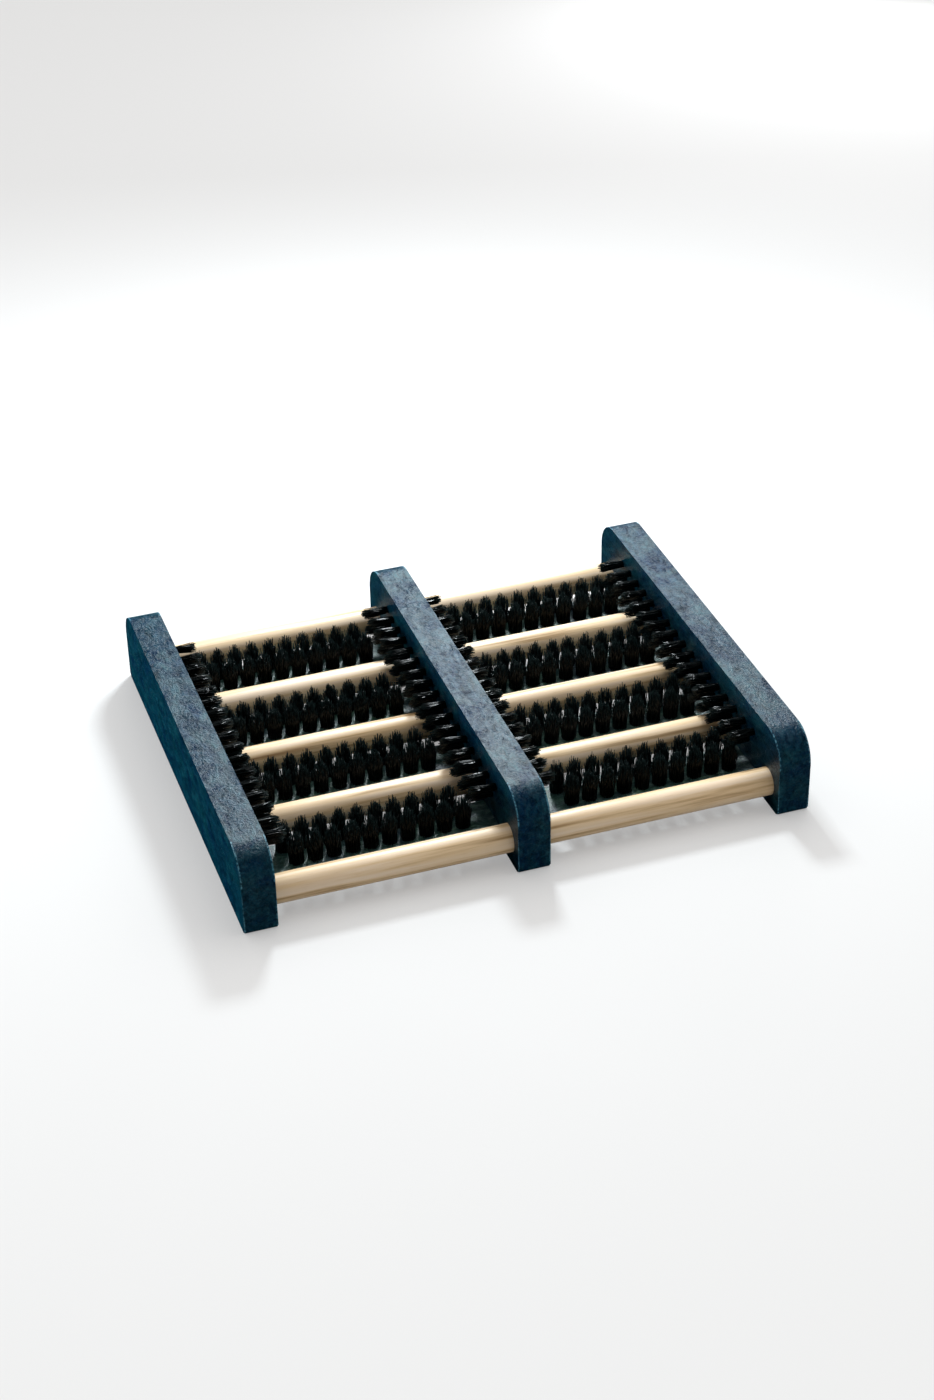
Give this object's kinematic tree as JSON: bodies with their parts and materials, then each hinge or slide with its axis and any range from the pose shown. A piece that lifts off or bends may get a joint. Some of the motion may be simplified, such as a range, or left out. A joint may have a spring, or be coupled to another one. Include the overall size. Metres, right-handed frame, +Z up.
{
  "type": "foot massage roller",
  "caption": "Low open wooden frame with a bay for each foot, floored by turning wooden rods with brush bars between them and edged with side brushes.",
  "frame": {"origin": "on the floor, under the middle rail's centre, which is the bottom centre of the bounding box", "axes": "+X along the rollers towards the right-hand rail, +Y from the front to the back along the rails, +Z up"},
  "size_m": [0.348, 0.288, 0.052],
  "materials": {
    "stained_rail": "satin",
    "stained_bar": "satin",
    "pale_wood": "satin",
    "bristle": "matte"
  },
  "bodies": {
    "frame": {"rail_left": "stained_rail", "rail_middle": "stained_rail", "rail_right": "stained_rail", "brush_bar_left_1": "stained_bar", "brush_bar_left_2": "stained_bar", "brush_bar_left_3": "stained_bar", "brush_bar_left_4": "stained_bar", "brush_bar_right_1": "stained_bar", "brush_bar_right_2": "stained_bar", "brush_bar_right_3": "stained_bar", "brush_bar_right_4": "stained_bar", "bar_tufts_left_1": "bristle", "bar_tufts_left_2": "bristle", "bar_tufts_left_3": "bristle", "bar_tufts_left_4": "bristle", "bar_tufts_right_1": "bristle", "bar_tufts_right_2": "bristle", "bar_tufts_right_3": "bristle", "bar_tufts_right_4": "bristle", "side_tufts_left_rail": "bristle", "side_tufts_middle_rail_left": "bristle", "side_tufts_middle_rail_right": "bristle", "side_tufts_right_rail": "bristle"},
    "roller_left_1": {"roller_left_1": "pale_wood"},
    "roller_left_2": {"roller_left_2": "pale_wood"},
    "roller_left_3": {"roller_left_3": "pale_wood"},
    "roller_left_4": {"roller_left_4": "pale_wood"},
    "roller_left_5": {"roller_left_5": "pale_wood"},
    "roller_right_1": {"roller_right_1": "pale_wood"},
    "roller_right_2": {"roller_right_2": "pale_wood"},
    "roller_right_3": {"roller_right_3": "pale_wood"},
    "roller_right_4": {"roller_right_4": "pale_wood"},
    "roller_right_5": {"roller_right_5": "pale_wood"}
  },
  "joints": [
    {"name": "roller_left_1_spin", "type": "hinge", "parent": "frame", "child": "roller_left_1", "pos_m": [-0.082, -0.1285, 0.0155], "axis": [1, 0, 0], "continuous": true},
    {"name": "roller_left_2_spin", "type": "hinge", "parent": "frame", "child": "roller_left_2", "pos_m": [-0.082, -0.06425, 0.0155], "axis": [1, 0, 0], "continuous": true},
    {"name": "roller_left_3_spin", "type": "hinge", "parent": "frame", "child": "roller_left_3", "pos_m": [-0.082, 0, 0.0155], "axis": [1, 0, 0], "continuous": true},
    {"name": "roller_left_4_spin", "type": "hinge", "parent": "frame", "child": "roller_left_4", "pos_m": [-0.082, 0.06425, 0.0155], "axis": [1, 0, 0], "continuous": true},
    {"name": "roller_left_5_spin", "type": "hinge", "parent": "frame", "child": "roller_left_5", "pos_m": [-0.082, 0.1285, 0.0155], "axis": [1, 0, 0], "continuous": true},
    {"name": "roller_right_1_spin", "type": "hinge", "parent": "frame", "child": "roller_right_1", "pos_m": [0.082, -0.1285, 0.0155], "axis": [1, 0, 0], "continuous": true},
    {"name": "roller_right_2_spin", "type": "hinge", "parent": "frame", "child": "roller_right_2", "pos_m": [0.082, -0.06425, 0.0155], "axis": [1, 0, 0], "continuous": true},
    {"name": "roller_right_3_spin", "type": "hinge", "parent": "frame", "child": "roller_right_3", "pos_m": [0.082, 0, 0.0155], "axis": [1, 0, 0], "continuous": true},
    {"name": "roller_right_4_spin", "type": "hinge", "parent": "frame", "child": "roller_right_4", "pos_m": [0.082, 0.06425, 0.0155], "axis": [1, 0, 0], "continuous": true},
    {"name": "roller_right_5_spin", "type": "hinge", "parent": "frame", "child": "roller_right_5", "pos_m": [0.082, 0.1285, 0.0155], "axis": [1, 0, 0], "continuous": true}
  ]
}
